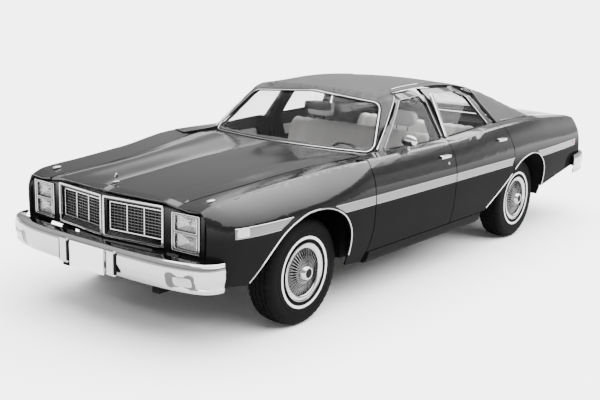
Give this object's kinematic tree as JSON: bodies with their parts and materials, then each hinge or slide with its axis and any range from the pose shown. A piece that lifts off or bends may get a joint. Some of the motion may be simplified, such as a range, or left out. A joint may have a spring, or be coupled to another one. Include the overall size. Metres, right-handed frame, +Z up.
{
  "type": "sedan",
  "caption": "Full-size notchback sedan with opening doors, hood and deck lid, steered front wheels and a roof covered in grained vinyl.",
  "frame": {"origin": "on the ground, midway between the two ends and the two sides", "axes": "-Y to the front, +X to the car's left, +Z up"},
  "size_m": [1.97, 5.547, 1.3785],
  "materials": {
    "paint": "gloss paint over primer",
    "vinyl": "grained vinyl roof covering",
    "chrome": "bright plating",
    "glass": "clear, faintly tinted",
    "lamp": "ribbed clear lenses in a bright bezel",
    "tail_lamp": "red lens",
    "rubber": "black rubber",
    "seat": "light grey cloth and vinyl",
    "trim_black": "dark soft trim",
    "cast_iron": "dark metal",
    "underbody": "dark undercoating",
    "plate": "blank, pale"
  },
  "bodies": {
    "body": {"backlight": "glass", "centre_pillar_left": "underbody", "centre_pillar_right": "underbody", "cowl": "paint", "dashboard": "trim_black", "deck_filler": "paint", "engine": "cast_iron", "exhaust": "cast_iron", "fender_left": "paint", "fender_right": "paint", "front_bumper": "chrome", "front_frame": "underbody", "front_seat": "seat", "front_suspension": "cast_iron", "fuel_tank": "cast_iron", "grille_left": "chrome", "grille_right": "chrome", "headlamps_left": "lamp", "headlamps_right": "lamp", "nose_panel": "paint", "number_plate": "plate", "quarter_left": "paint", "quarter_right": "paint", "radiator": "trim_black", "rear_axle": "cast_iron", "rear_bumper": "chrome", "rear_floor": "underbody", "rear_seat": "seat", "roof": "vinyl", "tail_lamp_left": "tail_lamp", "tail_lamp_right": "tail_lamp", "tail_panel": "paint", "underbody": "underbody", "windscreen": "glass"},
    "door_front_left": {"door_front_left": "paint", "door_front_glass_left": "glass", "door_mirror_left": "chrome"},
    "door_rear_left": {"door_rear_left": "paint", "door_rear_glass_left": "glass"},
    "knuckle_left": {"knuckle_left": "cast_iron"},
    "wheel_front_left": {"wheel_front_left": "chrome", "tyre_front_left": "rubber"},
    "wheel_rear_left": {"wheel_rear_left": "chrome", "tyre_rear_left": "rubber"},
    "door_front_right": {"door_front_right": "paint", "door_front_glass_right": "glass"},
    "door_rear_right": {"door_rear_right": "paint", "door_rear_glass_right": "glass"},
    "knuckle_right": {"knuckle_right": "cast_iron"},
    "wheel_front_right": {"wheel_front_right": "chrome", "tyre_front_right": "rubber"},
    "wheel_rear_right": {"wheel_rear_right": "chrome", "tyre_rear_right": "rubber"},
    "hood": {"hood": "paint"},
    "deck_lid": {"deck_lid": "paint"},
    "steering_wheel": {"steering_wheel": "trim_black"}
  },
  "joints": [
    {"name": "door_front_left_hinge", "type": "hinge", "parent": "body", "child": "door_front_left", "pos_m": [0.945, -1.0545, 0.52], "axis": [0, 0, -1], "range_deg": [0, 60]},
    {"name": "door_rear_left_hinge", "type": "hinge", "parent": "body", "child": "door_rear_left", "pos_m": [0.945, 0.0215, 0.52], "axis": [0, 0, -1], "range_deg": [0, 60]},
    {"name": "door_front_right_hinge", "type": "hinge", "parent": "body", "child": "door_front_right", "pos_m": [-0.945, -1.0545, 0.52], "axis": [0, 0, 1], "range_deg": [0, 60]},
    {"name": "door_rear_right_hinge", "type": "hinge", "parent": "body", "child": "door_rear_right", "pos_m": [-0.945, 0.0215, 0.52], "axis": [0, 0, 1], "range_deg": [0, 60]},
    {"name": "hood_hinge", "type": "hinge", "parent": "body", "child": "hood", "pos_m": [0, -1.0535, 0.9585], "axis": [-1, 0, 0], "range_deg": [0, 50]},
    {"name": "deck_lid_hinge", "type": "hinge", "parent": "body", "child": "deck_lid", "pos_m": [0, 1.5815, 1.0129], "axis": [1, 0, 0], "range_deg": [0, 60]},
    {"name": "knuckle_left_turn", "type": "hinge", "parent": "body", "child": "knuckle_left", "pos_m": [0.655, -1.7885, 0.345], "axis": [0, 0, 1], "range_deg": [-35, 35]},
    {"name": "knuckle_right_turn", "type": "hinge", "parent": "body", "child": "knuckle_right", "pos_m": [-0.655, -1.7885, 0.345], "axis": [0, 0, 1], "range_deg": [-35, 35]},
    {"name": "steering_turn", "type": "hinge", "parent": "body", "child": "steering_wheel", "pos_m": [0.37, -0.5985, 0.8], "axis": [0, 0.9063, 0.4226], "range_deg": [-560, 560]},
    {"name": "wheel_front_left_spin", "type": "hinge", "parent": "knuckle_left", "child": "wheel_front_left", "pos_m": [0.787, -1.7885, 0.345], "axis": [1, 0, 0], "continuous": true},
    {"name": "wheel_rear_left_spin", "type": "hinge", "parent": "body", "child": "wheel_rear_left", "pos_m": [0.787, 1.1965, 0.345], "axis": [1, 0, 0], "continuous": true},
    {"name": "wheel_front_right_spin", "type": "hinge", "parent": "knuckle_right", "child": "wheel_front_right", "pos_m": [-0.787, -1.7885, 0.345], "axis": [1, 0, 0], "continuous": true},
    {"name": "wheel_rear_right_spin", "type": "hinge", "parent": "body", "child": "wheel_rear_right", "pos_m": [-0.787, 1.1965, 0.345], "axis": [1, 0, 0], "continuous": true}
  ],
  "couplings": [
    {"joint": "knuckle_right_turn", "follows": "knuckle_left_turn", "ratio": 1},
    {"joint": "steering_turn", "follows": "knuckle_left_turn", "ratio": 16}
  ]
}
